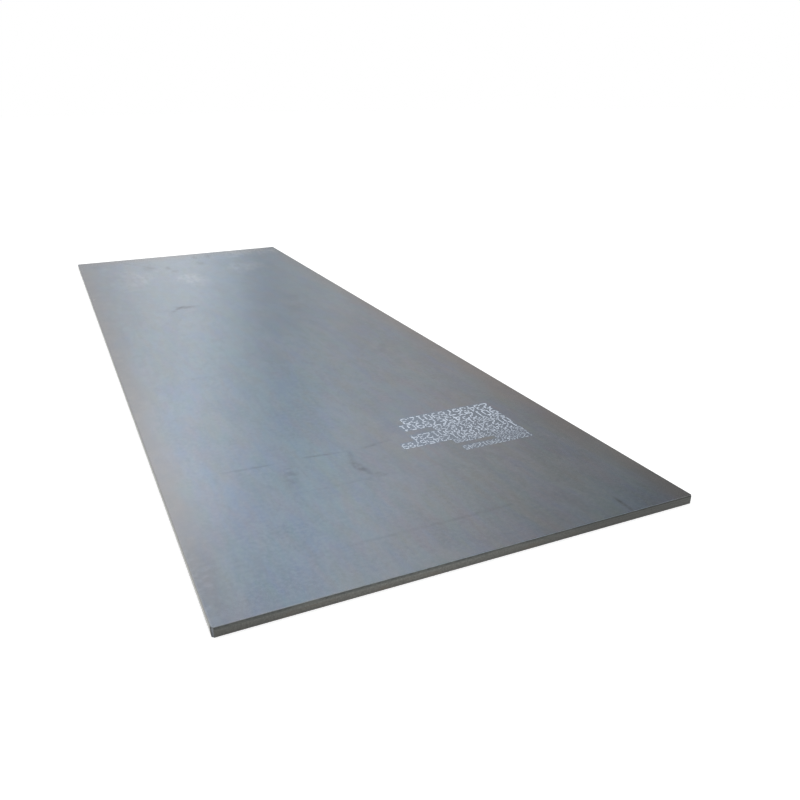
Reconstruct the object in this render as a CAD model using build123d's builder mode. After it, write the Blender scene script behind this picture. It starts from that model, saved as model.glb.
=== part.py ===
# Steel plate: one piece of hot-rolled plate, cut to size on all four sides by shears.
# It lies flat. X runs across its width, Y along its length and Z up through its thickness,
# and the origin is under its middle, on the surface that it rests on.

import os
from math import radians, tan

from build123d import *

# The plate's overall size, in millimetres
plate_width = 2000.0
plate_length = 6000.0
plate_thickness = 40.0

# The sheared edge, from the top face down
rollover_reach = 8.0  # how far in from the edge the top face starts to bend down
rollover_depth = 4.0  # how far down that bend goes
land_height = 13.0  # the upright band that the blade rubbed smooth
fracture_angle = 5.0  # degrees that the torn face below the land leans in
bottom_bevel = 1.0  # the bevel left where the burr was ground off

# The four corners, blunted in plan to a short arc
corner_setback = 10.0  # how far from the true corner the arc starts, on both sides
corner_crown = 2.0  # how far the arc swells out from the straight line between its ends


def sheared_section(plane, span):
    """Section across two opposite sheared sides, whose lands are span apart."""
    land_side = span / 2
    land_top = plate_thickness - rollover_depth
    land_bottom = land_top - land_height
    foot_side = land_side - tan(radians(fracture_angle)) * (land_bottom - bottom_bevel)
    bend_start = (land_side - rollover_reach, plate_thickness)
    with BuildSketch(plane) as section:
        with BuildLine():
            Polyline(
                (0, 0),
                (foot_side - bottom_bevel, 0),
                (foot_side, bottom_bevel),
                (land_side, land_bottom),
                (land_side, land_top),
            )
            # The top face bends down smoothly and ends in an arris where the blade bit
            TangentArc(bend_start, (land_side, land_top), tangent=(1, 0))
            Polyline(bend_start, (0, plate_thickness), (0, 0))
        make_face()
        mirror(about=Plane.YZ)
    return section.sketch


def blunted_outline():
    """The plate seen from above, with its four corners knocked round."""
    side = plate_width / 2
    end = plate_length / 2
    arc_start = (side, end - corner_setback)
    arc_end = (side - corner_setback, end)
    with BuildSketch(Plane.XY) as outline:
        with BuildLine():
            Polyline((0, 0), (side, 0), arc_start)
            SagittaArc(arc_start, arc_end, corner_crown)
            Polyline(arc_end, (0, end), (0, 0))
        make_face()
        mirror(about=Plane.YZ)
        mirror(about=Plane.XZ)
    return outline.sketch


with BuildPart() as plate:
    # The long sides, trimmed parallel to each other along the rolling direction
    extrude(sheared_section(Plane.XZ, plate_width), amount=plate_length / 2, both=True)
    # The two ends, cut across it with the same edge
    extrude(
        sheared_section(Plane.YZ, plate_length),
        amount=plate_width / 2,
        both=True,
        mode=Mode.INTERSECT,
    )
    # The corners, blunted down through the whole thickness
    extrude(blunted_outline(), amount=plate_thickness, mode=Mode.INTERSECT)

plate.part.label = "plate"

os.makedirs("parts", exist_ok=True)
export_step(plate.part, "parts/plate.step")
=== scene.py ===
import random
from math import cos, pi, radians, sin, sqrt
from typing import NamedTuple

import bmesh
import bpy
from mathutils import Matrix, Vector


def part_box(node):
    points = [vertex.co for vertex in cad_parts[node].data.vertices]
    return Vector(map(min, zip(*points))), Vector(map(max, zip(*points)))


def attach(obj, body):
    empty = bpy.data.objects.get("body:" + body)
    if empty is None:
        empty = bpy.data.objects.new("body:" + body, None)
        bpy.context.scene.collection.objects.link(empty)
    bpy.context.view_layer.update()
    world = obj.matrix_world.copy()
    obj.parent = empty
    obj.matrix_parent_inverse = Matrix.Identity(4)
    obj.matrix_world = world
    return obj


# Looks of a steel plate that lies flat: mill scale on its faces, torn steel on its sheared edges,
# and figures sprayed on it in white dots. Lengths are in metres. X runs across the plate, Y along
# it, away from the camera, and Z up.

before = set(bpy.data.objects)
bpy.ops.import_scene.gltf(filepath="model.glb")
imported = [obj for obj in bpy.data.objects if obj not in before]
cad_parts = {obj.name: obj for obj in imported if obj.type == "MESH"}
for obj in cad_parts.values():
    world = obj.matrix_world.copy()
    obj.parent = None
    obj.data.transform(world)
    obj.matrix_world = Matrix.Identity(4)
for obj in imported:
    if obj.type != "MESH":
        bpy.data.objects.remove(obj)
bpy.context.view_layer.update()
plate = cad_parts["plate"]
_, plate_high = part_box("plate")
half_width = plate_high.x
half_length = plate_high.y
plate_top = plate_high.z

# The sheared edge and the blunted corners, as the plate was modelled
rollover_reach = 0.008  # how far in from the edge the top face starts to bend down
rollover_depth = 0.004  # how far down that bend goes
land_height = 0.013  # the upright band under it
bottom_bevel = 0.001
corner_reach = 0.01  # how far the round of a corner reaches along each side
corner_crown = 0.002  # how far that round swells out from the straight line between its ends

# Heights above the underside
arris = plate_top - rollover_depth
land_foot = arris - land_height


# Node trees

class Value:
    """What a node gives, a number at each point. Sums and products of values add Math nodes."""

    def __init__(self, nodes, socket):
        self.nodes = nodes
        self.socket = socket

    def __add__(self, other):
        return self.nodes.maths("ADD", self, other)

    def __sub__(self, other):
        return self.nodes.maths("SUBTRACT", self, other)

    def __rsub__(self, other):
        return self.nodes.maths("SUBTRACT", other, self)

    def __mul__(self, other):
        return self.nodes.maths("MULTIPLY", self, other)

    def __abs__(self):
        return self.nodes.maths("ABSOLUTE", self)

    __radd__ = __add__
    __rmul__ = __mul__


class Nodes:
    """The nodes of one material or of the world, and the ways in which they are added."""

    def __init__(self, owner):
        owner.use_nodes = True
        self.tree = owner.node_tree
        self.tree.nodes.clear()

    def node(self, kind, settings=None, inputs=None, output=0):
        """Adds one node: first its settings, then the values or links of its sockets."""
        made = self.tree.nodes.new(kind)
        for name, setting in (settings or {}).items():
            if name == "stops":
                lay_stops(made.color_ramp, setting)
            else:
                setattr(made, name, setting)
        for name, given in (inputs or {}).items():
            if isinstance(given, Value):
                self.tree.links.new(given.socket, made.inputs[name])
            else:
                made.inputs[name].default_value = given
        return Value(self, made.outputs[output]) if made.outputs else None

    def maths(self, operation, *terms):
        return self.node("ShaderNodeMath", {"operation": operation}, dict(enumerate(terms)))

    def place(self):
        """The point's own coordinates on the object, in metres."""
        return self.node("ShaderNodeTexCoord", output="Object")

    def parts(self, vector):
        """The x, y and z of a vector."""
        split = self.node("ShaderNodeSeparateXYZ", inputs={"Vector": vector}).socket.node
        return [Value(self, socket) for socket in split.outputs]

    def rise(self, value, start, end):
        """0 before start, 1 after end, smooth between. It falls where start is above end."""
        return self.node(
            "ShaderNodeMapRange",
            {"interpolation_type": "SMOOTHSTEP"},
            {"Value": value, "From Min": start, "From Max": end},
        )

    def blend(self, share, under, over):
        """The colour under, covered by the colour over as far as share says."""
        return self.node("ShaderNodeMix", {"data_type": "RGBA"}, {0: share, 6: under, 7: over}, 2)

    def noise(self, place, grain, stretch=(1, 1, 1), detail=2.0, harshness=0.5, shift=0.0):
        """Cloudy noise from 0 to 1. Its clouds are about grain across, times stretch."""
        scaled = self.node(
            "ShaderNodeVectorMath",
            {"operation": "MULTIPLY_ADD"},
            {0: place, 1: [1 / (grain * longer) for longer in stretch], 2: [shift] * 3},
        )
        return self.node(
            "ShaderNodeTexNoise",
            inputs={"Vector": scaled, "Scale": 1.0, "Detail": detail, "Roughness": harshness},
        )


def lay_stops(ramp, stops):
    """Gives a colour ramp its stops, each a position from 0 to 1 and a colour."""
    ramp.elements.remove(ramp.elements[1])
    first, *others = stops
    ramp.elements[0].position, ramp.elements[0].color = first
    for position, shade in others:
        ramp.elements.new(position).color = shade


def colour(red, green, blue):
    """A colour as a screen shows it, 0 to 255, turned into the linear values of shaders."""
    levels = [level / 255 for level in (red, green, blue)]
    linear = [v / 12.92 if v <= 0.04045 else ((v + 0.055) / 1.055) ** 2.4 for v in levels]
    return (*linear, 1.0)


def grey(strength, tint=(1, 1, 1)):
    """A light of a strength, 1 for white, with a tint."""
    return (*[strength * share for share in tint], 1.0)


def add_piece(name, shape, material):
    """Turns a shape that is fully built into a piece with one material."""
    mesh = bpy.data.meshes.new(name)
    shape.to_mesh(mesh)
    shape.free()
    mesh.materials.append(material)
    piece = bpy.data.objects.new(name, mesh)
    bpy.context.collection.objects.link(piece)
    return piece


# Studio

floor_radius = 60.0
floor_drop = 0.0002  # keeps the floor clear of the plate's underside
floor_shade = 0.7  # how much light the floor throws back
floor_glow = 0.55  # what it adds where the camera or a reflection sees it, so that it looks white
wall_radius = 24.0
wall_height = 40.0
round_segments = 96  # flat sides of the floor and of the wall

# Where the camera stood, worked out from the plate's four corners in the photograph
eye = Vector((-1.284, -4.972, 1.598))
heading = 23.71  # degrees from +Y towards +X
dip = 22.32  # degrees below the horizon
roll = -0.68  # degrees
photo_width = 800  # pixels
focal_length = 754.4 / photo_width  # in picture widths
axis_offset = 22.5 / photo_width  # how far left of the middle the lens axis meets the picture


def set_camera():
    """The camera of the photograph."""
    data = bpy.data.cameras.new("camera")
    data.sensor_width = 36.0
    data.lens = focal_length * data.sensor_width
    data.shift_x = axis_offset
    data.clip_end = 4 * floor_radius
    camera = bpy.data.objects.new("camera", data)
    bpy.context.collection.objects.link(camera)
    camera.matrix_world = (
        Matrix.Translation(eye)
        @ Matrix.Rotation(-radians(heading), 4, "Z")
        @ Matrix.Rotation(radians(90 - dip), 4, "X")
        @ Matrix.Rotation(radians(roll), 4, "Z")
    )
    bpy.context.scene.camera = camera


def set_world():
    """Even white light from all round."""
    world = bpy.data.worlds.new("studio")
    nodes = Nodes(world)
    light = nodes.node("ShaderNodeBackground", inputs={"Color": grey(1.0), "Strength": 1.0})
    nodes.node("ShaderNodeOutputWorld", inputs={"Surface": light})
    bpy.context.scene.world = world
    bpy.context.scene.view_settings.view_transform = "Standard"


def staged(name, shape, material):
    """A piece of the studio, which is no part of the plate."""
    piece = add_piece(name, shape, material)
    return piece


def pale_floor():
    """A pale floor that looks white, and still darkens where the plate shades it."""
    material = bpy.data.materials.new("pale_floor")
    material.cycles.emission_sampling = "NONE"
    nodes = Nodes(material)
    glow = 0.0
    for ray in ("Is Camera Ray", "Is Glossy Ray", "Is Transmission Ray"):
        glow = nodes.node("ShaderNodeLightPath", output=ray) + glow
    shader = nodes.node(
        "ShaderNodeBsdfPrincipled",
        inputs={
            "Base Color": grey(floor_shade),
            "Roughness": 1.0,
            "Specular IOR Level": 0.0,
            "Emission Color": nodes.blend(glow, grey(0.0), grey(floor_glow)),
            "Emission Strength": 1.0,
        },
    )
    nodes.node("ShaderNodeOutputMaterial", inputs={"Surface": shader})
    return material


def lay_floor():
    disc = bmesh.new()
    bmesh.ops.create_circle(
        disc,
        cap_ends=True,
        segments=round_segments,
        radius=floor_radius,
        matrix=Matrix.Translation((0, 0, -floor_drop)),
    )
    staged("floor", disc, pale_floor())


# The light of the studio wall at each heading from where the camera stood: its strength low down,
# halfway and high up, and its tints low down and above. The plate mirrors it, and so it looks
# brightest along its left side.
blue = (0.82, 1.0, 1.19)
pale_blue = (0.91, 1.0, 1.09)
cool = (0.97, 1.0, 1.04)
white = (1.0, 1.0, 1.0)
warm = (1.08, 1.0, 0.95)
wall_light = [
    (-180, 0.7, 0.85, 0.85, cool, cool),
    (-60, 0.7, 1.0, 0.85, cool, cool),
    (3, 0.63, 1.65, 0.95, cool, white),
    (9, 0.98, 1.52, 0.72, cool, cool),
    (12, 0.77, 1.02, 0.79, pale_blue, cool),
    (15, 0.46, 0.81, 0.73, pale_blue, blue),
    (21, 0.55, 1.01, 0.92, white, cool),
    (30, 0.44, 0.7, 0.67, warm, warm),
    (37, 0.3, 0.46, 0.45, warm, warm),
    (48, 0.06, 0.1, 0.1, warm, warm),
    (100, 0.5, 0.6, 0.6, white, white),
    (180, 0.7, 0.85, 0.85, cool, cool),
]

# Between which heights its light changes from low to halfway, to high, and to plain white
halfway_rise = (0.18 * wall_radius, 0.54 * wall_radius)
high_rise = (0.45 * wall_radius, 0.72 * wall_radius)
white_rise = (0.9 * wall_radius, wall_height)


def wall_finish():
    """Light that changes smoothly round the wall and up it, and turns white towards its top."""
    material = bpy.data.materials.new("studio_wall")
    nodes = Nodes(material)
    x, y, z = nodes.parts(nodes.place())
    turns = nodes.maths("ARCTAN2", x, y) * (0.5 / pi) + 0.5
    headings, low, halfway, high, low_tints, tints = zip(*wall_light)

    def band(strengths, band_tints):
        """The light all round the wall at one height."""
        positions = [0.5 + turned / 360 for turned in headings]
        stops = list(zip(positions, map(grey, strengths, band_tints)))
        return nodes.node("ShaderNodeValToRGB", {"stops": stops}, {0: turns})

    light = nodes.blend(nodes.rise(z, *halfway_rise), band(low, low_tints), band(halfway, tints))
    light = nodes.blend(nodes.rise(z, *high_rise), light, band(high, tints))
    light = nodes.blend(nodes.rise(z, *white_rise), light, grey(1.0))
    # Faint uprights, which the plate shows as soft streaks towards the eye
    folds = nodes.noise(nodes.place(), 1.4, stretch=(1, 1, 10), detail=3.0, harshness=0.6)
    light = nodes.blend(nodes.rise(folds, 0.5, 0.7) * 0.25, light, grey(0.35, (1.1, 0.9, 1.0)))
    light = nodes.blend(nodes.rise(folds, 0.5, 0.3) * 0.15, light, grey(1.3, (0.9, 1.05, 1.0)))
    shader = nodes.node("ShaderNodeEmission", inputs={"Color": light, "Strength": 1.0})
    nodes.node("ShaderNodeOutputMaterial", inputs={"Surface": shader})
    return material


def raise_wall():
    """A round wall that only reflections show. It neither lights nor shades anything else."""
    ring = bmesh.new()
    bmesh.ops.create_cone(
        ring,
        segments=round_segments,
        radius1=wall_radius,
        radius2=wall_radius,
        depth=wall_height,
        matrix=Matrix.Translation((0, 0, wall_height / 2)),
    )
    wall = staged("studio_wall", ring, wall_finish())
    wall.location = (eye.x, eye.y, 0)
    wall.visible_camera = False
    wall.visible_diffuse = False
    wall.visible_shadow = False


# Finishes of the plate

class Finish(NamedTuple):
    """One kind of surface: colour, roughness, how far it is bare metal, and relief in metres."""

    shade: Value
    roughness: Value
    metal: Value
    relief: Value


def cover(nodes, share, under, over):
    """The finish under, covered by the finish over as far as share says."""
    shade = nodes.blend(share, under.shade, over.shade)
    numbers = [low + share * (high - low) for low, high in zip(under[1:], over[1:])]
    return Finish(shade, *numbers)


def close_material(nodes, finish):
    """Ends a material's nodes with its shader."""
    bump = nodes.node("ShaderNodeBump", inputs={"Distance": 1.0, "Height": finish.relief})
    shader = nodes.node(
        "ShaderNodeBsdfPrincipled",
        inputs={
            "Base Color": finish.shade,
            "Roughness": finish.roughness,
            "Metallic": finish.metal,
            "Normal": bump,
        },
    )
    nodes.node("ShaderNodeOutputMaterial", inputs={"Surface": shader})


# Scuffs and smears on the top, each by its middle, half its length, half its breadth, the degrees
# that its length turns from X, and how dark it is
scuffs = [
    ((-0.60, -1.99), 0.18, 0.016, -3, 0.35),
    ((-0.26, -2.00), 0.16, 0.016, -6, 0.4),
    ((0.00, -2.00), 0.12, 0.018, 11, 0.35),
    ((-0.24, -2.30), 0.38, 0.016, 0, 0.15),
    ((-0.28, -2.75), 0.38, 0.016, 0, 0.15),
    ((0.16, -2.75), 0.40, 0.016, 1, 0.2),
    ((-0.15, -2.08), 0.13, 0.02, 76, 0.35),
    ((-0.15, -2.19), 0.1, 0.035, 103, 0.7),
    ((-0.09, -2.28), 0.09, 0.025, -28, 0.3),
    ((-0.45, -2.13), 0.18, 0.05, 77, 0.35),
    ((-0.56, -0.74), 0.16, 0.02, 0, 0.15),
    ((0.69, -2.94), 0.09, 0.014, 88, 0.8),
    ((-0.36, 0.91), 0.09, 0.07, -38, 0.8),
    ((-0.28, 0.89), 0.08, 0.06, 13, 0.5),
    ((-0.42, 0.85), 0.14, 0.03, 55, 0.6),
    ((-0.39, 2.48), 0.18, 0.09, 90, 0.4),
    ((-0.22, 2.41), 0.13, 0.04, 84, 0.7),
    ((-0.19, 2.24), 0.1, 0.05, 80, 0.4),
    ((-0.53, 2.76), 0.24, 0.03, -57, 0.4),
    ((-0.40, 2.62), 0.28, 0.14, 90, 0.2),
    ((0.11, 2.50), 0.16, 0.06, 90, 0.5),
    ((0.28, 2.40), 0.32, 0.15, 90, 0.2),
    ((0.11, 2.81), 0.13, 0.045, 90, 0.8),
    ((0.25, 2.82), 0.13, 0.045, 84, 1.0),
    ((-0.86, 2.80), 0.25, 0.12, 90, 0.3),
    ((-0.97, -2.74), 0.42, 0.1, 90, 0.35),
    ((0.52, 0.85), 0.18, 0.12, 60, 0.25),
    ((0.45, 0.50), 0.22, 0.16, 60, 0.25),
    ((0.64, -0.68), 0.13, 0.04, 70, 0.35),
]

# Where the scale is paler, written as the scuffs are
pale_areas = [
    ((0.62, 2.84), 0.4, 0.3, 8, 0.85),
    ((0.46, 2.10), 0.45, 0.18, 84, 0.5),
    ((-0.62, 2.12), 0.5, 0.26, 90, 0.4),
    ((-0.12, 1.92), 0.42, 0.2, 96, 0.6),
]


def spot_cover(nodes, place, spots, drift=0.0):
    """How far soft oval spots cover the scale at each point. The drift makes them less regular."""
    total = 0.0
    for (x, y), long_reach, short_reach, turn, strength in spots:
        local = nodes.node(
            "ShaderNodeMapping",
            {"vector_type": "TEXTURE"},
            {
                "Vector": place,
                "Location": (x, y, plate_top),
                "Rotation": (0, 0, radians(turn)),
                "Scale": (long_reach, short_reach, plate_top / 2),
            },
        )
        distance = nodes.node("ShaderNodeVectorMath", {"operation": "LENGTH"}, {0: local}, "Value")
        total = nodes.rise(distance + drift, 1.0, 0.1) * strength + total
    return total


def pale_cover(nodes, place):
    """How far the scale is paler at each point, in ragged patches drawn out along the plate."""
    large = nodes.noise(place, 0.2, stretch=(1, 2, 1), detail=4.0, harshness=0.6, shift=37.0)
    small = nodes.noise(place, 0.04, stretch=(1, 4, 1), detail=3.0, harshness=0.6, shift=41.0)
    cover_share = spot_cover(nodes, place, pale_areas, (large - 0.5) * 2.5)
    return cover_share * nodes.rise(small, 0.2, 0.6)


def rolled_face(nodes, place):
    """Mill scale as the rolls left it: blue-grey, clouded, and faintly streaked along the plate."""
    clouds = nodes.noise(place, 0.45, stretch=(1, 2, 1), detail=3.0)
    veils = nodes.noise(place, 0.3, stretch=(1, 3, 1), detail=3.0, shift=7.3)
    blooms = nodes.noise(place, 0.15, stretch=(1, 3, 1), detail=4.0, harshness=0.6, shift=21.0)
    tints = nodes.noise(place, 0.07, stretch=(1, 4, 1), detail=4.0, harshness=0.65, shift=17.0)
    stains = nodes.noise(place, 0.08, stretch=(1, 4, 1), detail=4.0, harshness=0.65, shift=27.0)
    patches = nodes.noise(place, 0.05, stretch=(1, 2, 1), detail=3.0, harshness=0.6, shift=13.0)
    streaks = nodes.noise(place, 0.025, stretch=(1, 30, 1), shift=3.1)
    mottle = nodes.noise(place, 0.02, detail=3.0, harshness=0.7)
    base = colour(140, 153, 165)
    shade = nodes.blend(nodes.rise(clouds, 0.35, 0.65), base, colour(149, 157, 166))
    shade = nodes.blend(nodes.rise(veils, 0.5, 0.65) * 0.5, shade, colour(142, 158, 162))
    shade = nodes.blend(nodes.rise(blooms, 0.45, 0.62) * 0.8, shade, colour(136, 146, 157))
    shade = nodes.blend(pale_cover(nodes, place), shade, colour(194, 196, 200))
    shade = nodes.blend(nodes.rise(patches, 0.45, 0.65) * 0.6, shade, colour(135, 145, 154))
    shade = nodes.blend(nodes.rise(tints, 0.45, 0.7) * 0.5, shade, colour(150, 147, 160))
    shade = nodes.blend(nodes.rise(tints, 0.52, 0.3) * 0.5, shade, colour(137, 156, 161))
    shade = nodes.blend(nodes.rise(stains, 0.48, 0.7) * 0.5, shade, colour(147, 152, 150))
    shade = nodes.blend(nodes.rise(stains, 0.52, 0.3) * 0.5, shade, colour(136, 149, 173))
    shade = nodes.blend(nodes.rise(streaks, 0.5, 0.75) * 0.2, shade, colour(130, 140, 151))
    shade = nodes.blend(nodes.rise(mottle, 0.35, 0.75) * 0.35, shade, colour(163, 170, 178))
    shade = nodes.blend(mist_cover(nodes, place), shade, colour(141, 156, 174))
    breaks = nodes.noise(place, 0.03, detail=3.0, shift=30.0)
    scuffed = spot_cover(nodes, place, scuffs) * nodes.rise(breaks, 0.25, 0.6)
    shade = nodes.blend(scuffed, shade, colour(104, 110, 118))
    roughness = 0.16 + 0.08 * clouds + 0.08 * mottle
    waves = nodes.noise(place, 0.6, detail=1.0)
    grain = nodes.noise(place, 0.004)
    relief = waves * 0.0004 + mottle * 0.00002 + grain * 0.000005
    return Finish(shade, roughness, 0.85, relief)


def dulled_rim(nodes, place):
    """The scale near the sides of the plate, greyer and duller from weather and handling."""
    mottle = nodes.noise(place, 0.06, stretch=(1, 2, 1), shift=5.0)
    base = colour(147, 146, 147)
    shade = nodes.blend(nodes.rise(mottle, 0.35, 0.65), base, colour(154, 151, 150))
    shade = nodes.blend(pale_cover(nodes, place), shade, colour(184, 178, 172))
    return Finish(shade, 0.22 + 0.08 * mottle, 0.85, mottle * 0.00001)


def torn_steel(nodes, place):
    """The lower, torn part of the sheared edge: dark, uneven, and a little brown."""
    lumps = nodes.noise(place, 0.006, stretch=(1, 1, 1.6), detail=4.0, harshness=0.6)
    stains = nodes.noise(place, 0.12, stretch=(1, 1, 0.3), detail=3.0)
    shade = nodes.blend(nodes.rise(lumps, 0.35, 0.65), colour(80, 80, 76), colour(102, 102, 97))
    shade = nodes.blend(nodes.rise(stains, 0.5, 0.7) * 0.5, shade, colour(101, 92, 80))
    return Finish(shade, 0.25 + 0.2 * lumps, 0.3, lumps * 0.00015)


def rubbed_land(nodes, place):
    """The upright band that the blade rubbed smooth, with its drag lines running down."""
    drag = nodes.noise(place, 0.0025, stretch=(1, 1, 30), detail=3.0)
    shade = nodes.blend(nodes.rise(drag, 0.35, 0.65), colour(86, 88, 84), colour(110, 111, 106))
    return Finish(shade, 0.15 + 0.15 * drag, 0.4, drag * 0.00002)


def bent_scale(nodes, place):
    """Thick dark scale that was bent over the arris."""
    flakes = nodes.noise(place, 0.008, detail=3.0)
    worn = nodes.noise(place, 0.12, detail=3.0, shift=33.0)
    shade = nodes.blend(nodes.rise(flakes, 0.4, 0.6), colour(68, 71, 70), colour(84, 87, 84))
    shade = nodes.blend(nodes.rise(worn, 0.5, 0.7) * 0.6, shade, colour(104, 105, 101))
    return Finish(shade, 0.3 + 0.1 * flakes, 0.3, flakes * 0.00006)


def cut_with_painted_shade_and_sheen(nodes, x, z, side_gap, end_gap, cut):
    """The sheared edge: painted shade low down, a painted sheen on the long sides, darker ends and
    corners.
    """
    darker_tone = colour(46, 48, 45)
    from_corner = nodes.maths("MAXIMUM", side_gap, end_gap)
    on_corner = nodes.rise(from_corner, 1.3 * corner_reach, 0.8 * corner_reach)
    painted_sheen_on_long_side = nodes.rise(end_gap - side_gap, corner_reach, 2 * corner_reach)
    # Painted shade: the cut is coloured darker towards its foot, as if the floor shaded it
    shade = nodes.blend(nodes.rise(z, 0.018, 0.0) * 0.4, cut.shade, colour(66, 65, 60))
    # Darker towards the plate's right and left sides, and at the corners
    shade = nodes.blend(nodes.rise(x, -0.3, 0.7) * 0.75, shade, darker_tone)
    shade = nodes.blend(nodes.rise(x, -0.4, -1.0) * 0.4, shade, darker_tone)
    shade = nodes.blend(on_corner * 0.7, shade, darker_tone)
    # Painted sheen: the long sides' cut is coloured paler, in place of the floor and sky it
    # reflects when seen at a grazing angle
    return cut._replace(shade=nodes.blend(painted_sheen_on_long_side, shade, colour(150, 150, 147)))


# The dulled rim, along the long sides and the far end
rim_width = 0.18
rim_raggedness = 0.12  # how far its inner border wanders
rim_strength = 0.85
far_rim_ratio = 0.6  # the rim's width along the sides, as a share of that at the far end
rim_fade = (-4.4, -3.0)  # between which sums of x and y it fades in, away from the near left corner


def plate_material():
    material = bpy.data.materials.new("mill_scale")
    nodes = Nodes(material)
    place = nodes.place()
    x, y, z = nodes.parts(place)
    ragged = nodes.noise(place, 0.03, detail=3.0, shift=11.0) - 0.5
    side_gap = half_width - abs(x)
    end_gap = half_length - abs(y)

    drift = nodes.noise(place, 0.15, stretch=(1, 2, 1), detail=3.0, shift=9.0) - 0.5
    inland = nodes.maths("MINIMUM", side_gap, far_rim_ratio * (half_length - y))
    on_rim = nodes.rise(inland + drift * rim_raggedness, rim_width, 0.0)
    on_rim = on_rim * nodes.rise(x + y, *rim_fade) * rim_strength
    face = cover(nodes, on_rim, rolled_face(nodes, place), dulled_rim(nodes, place))

    # The bands of the cut, from the foot up
    on_land = nodes.rise(z + ragged * 0.006, land_foot - 0.001, land_foot + 0.001)
    on_bend = nodes.rise(z + ragged * 0.004, arris - 0.007, arris - 0.005)
    cut = cover(nodes, on_land, torn_steel(nodes, place), rubbed_land(nodes, place))
    cut = cover(nodes, on_bend, cut, bent_scale(nodes, place))
    cut = cut_with_painted_shade_and_sheen(nodes, x, z, side_gap, end_gap, cut)

    # A corner's round is taken as straight, halfway out to its crown
    corner_gap = (side_gap + end_gap - corner_reach) * sqrt(0.5) + 0.5 * corner_crown
    edge_gap = nodes.maths("MINIMUM", nodes.maths("MINIMUM", side_gap, end_gap), corner_gap)
    bent = nodes.rise(edge_gap + ragged * 0.002, 0.65 * rollover_reach, 0.2 * rollover_reach)
    upright = bent * nodes.rise(z, 0.0, bottom_bevel / 2)
    close_material(nodes, cover(nodes, upright, face, cut))
    return material


# Painted figures

# The ten figures as a marking head sprays them, five dots wide and seven high
dot_figures = {
    "0": ".###. #...# #...# #...# #...# #...# .###.",
    "1": "..#.. .##.. ..#.. ..#.. ..#.. ..#.. .###.",
    "2": ".###. #...# ....# ..##. .#... #.... #####",
    "3": ".###. #...# ....# ..##. ....# #...# .###.",
    "4": "...#. ..##. .#.#. #..#. ##### ...#. ...#.",
    "5": "##### #.... ####. ....# ....# #...# .###.",
    "6": "..##. .#... #.... ####. #...# #...# .###.",
    "7": "##### ....# ...#. ..#.. .#... .#... .#...",
    "8": ".###. #...# #...# .###. #...# #...# .###.",
    "9": ".###. #...# #...# .#### ....# ...#. .##..",
}
dots_across = 5
dots_high = 7
pitch_ratio = 0.7  # the dots stand closer across a figure than up it
missed_share = 0.04  # the share of the dots that the head missed
stray_share = 0.08  # how far a dot strays from its place, in radii

# One dot of paint. Of two numbers, the first is the least and the second the most.
dot_sides = 10
dot_size = (0.85, 1.1)  # its radius, as a share of the line's
dot_edge = (0.85, 1.15)  # how far out its uneven edge lies, in radii
dot_crown = 0.75  # how far out its flat top reaches, as a share of that
paint_film = 0.00015
film_share = (0.7, 1.0)  # how much of that thickness it has

# Where the lines of figures lie
line_start = 0.742  # all lines start here and run towards the plate's left side
first_line = -2.232  # the near side of the line that is nearest to the camera
line_gap = 0.004

mist_reach = 0.01  # over which the overspray fades out round a line
mist_strength = 0.8

# Height and length of each line of figures, from the camera's side on, and how wide its dots are
# as a share of the distance between their rows
figure_lines = [
    (0.042, 0.384, 0.8),
    (0.033, 0.17, 0.75),
    (0.040, 0.378, 0.85),
    (0.056, 0.647, 0.95),
    (0.062, 0.548, 0.95),
    (0.048, 0.407, 1.0),
    (0.072, 0.556, 1.0),
    (0.072, 0.507, 1.0),
]


def line_pitches(height):
    """How far apart a line's dots are up and across, and its figures from each other."""
    row_pitch = height / dots_high
    column_pitch = row_pitch * pitch_ratio
    return row_pitch, column_pitch, (dots_across + 1) * column_pitch


def laid_lines():
    """The lines of figures, each with where its near side lies along the plate."""
    near = first_line
    for height, length, fullness in figure_lines:
        yield near, height, length, fullness
        near += height + line_gap


def mist_cover(nodes, place):
    """How far fine overspray lies on the scale between the painted figures."""
    x, y, _ = nodes.parts(place)
    total = 0.0
    for near, height, length, _ in laid_lines():
        _, column_pitch, advance = line_pitches(height)
        painted_length = round(length / advance) * advance - 2 * column_pitch
        from_middle_x = abs(x - (line_start - painted_length / 2))
        from_middle_y = abs(y - (near + height / 2))
        across = nodes.rise(from_middle_x, painted_length / 2 + mist_reach, painted_length / 2)
        along = nodes.rise(from_middle_y, height / 2 + mist_reach, height / 2)
        total = nodes.maths("MAXIMUM", across * along, total)
    return total * mist_strength


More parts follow.
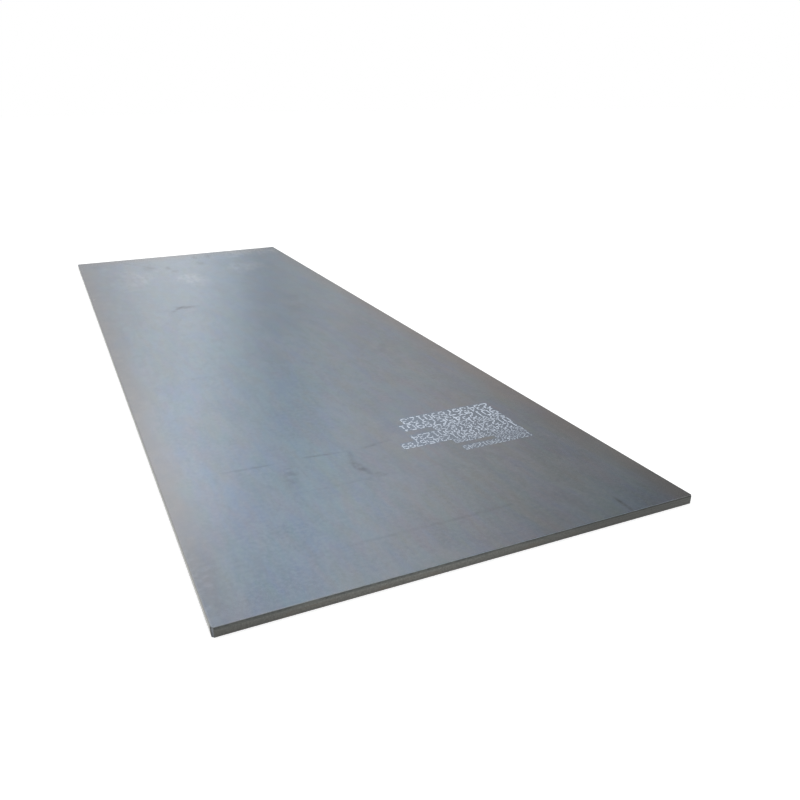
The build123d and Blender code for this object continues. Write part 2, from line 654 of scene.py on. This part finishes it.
def dot_places(draw):
    """Centre and radius of each dot. The lines are read from the far end of the plate."""
    count = 0
    for near, height, length, fullness in laid_lines():
        row_pitch, column_pitch, advance = line_pitches(height)
        for number in range(round(length / advance)):
            count += 1
            for row, dots in enumerate(dot_figures[str(count % 10)].split()):
                for column, dot in enumerate(dots):
                    if dot == "#" and draw.random() > missed_share:
                        across = number * advance + column * column_pitch
                        radius = 0.5 * row_pitch * fullness
                        yield line_start - across, near + row * row_pitch, radius


def spray_dot(shape, centre_x, centre_y, radius, draw):
    """One dot of paint: a flat blob with an uneven rim, a little sunk into the plate."""
    film = paint_film * draw.uniform(*film_share)
    foot = []
    crown = []
    for step in range(dot_sides):
        angle = 2 * pi * step / dot_sides
        reach = radius * draw.uniform(*dot_edge)
        for ring, share, height in ((foot, 1.0, -film / 2), (crown, dot_crown, film)):
            x = centre_x + share * reach * cos(angle)
            y = centre_y + share * reach * sin(angle)
            ring.append(shape.verts.new((x, y, plate_top + height)))
    shape.faces.new(crown)
    shape.faces.new(reversed(foot))
    for step in range(dot_sides):
        after = (step + 1) % dot_sides
        shape.faces.new((foot[step], foot[after], crown[after], crown[step]))


def paint_material():
    material = bpy.data.materials.new("marking_paint")
    nodes = Nodes(material)
    place = nodes.place()
    wear = nodes.noise(place, 0.02, detail=4.0, harshness=0.6)
    tone = nodes.noise(place, 0.15, shift=4.0)
    shade = nodes.blend(nodes.rise(wear, 0.3, 0.6), colour(174, 186, 201), colour(213, 224, 239))
    shade = nodes.blend(nodes.rise(tone, 0.5, 0.7) * 0.4, shade, colour(165, 177, 190))
    close_material(nodes, Finish(shade, 0.6 + 0.2 * wear, 0.0, wear * 0.00005))
    return material


def paint_figures():
    draw = random.Random(12)
    shape = bmesh.new()
    for centre_x, centre_y, radius in dot_places(draw):
        stray = stray_share * radius
        spray_dot(
            shape,
            centre_x + draw.uniform(-stray, stray),
            centre_y + draw.uniform(-stray, stray),
            radius * draw.uniform(*dot_size),
            draw,
        )
    figures = add_piece("painted_figures", shape, paint_material())
    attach(figures, "root")


set_camera()
set_world()
lay_floor()
raise_wall()

plate.material_slots[0].material = plate_material()
paint_figures()
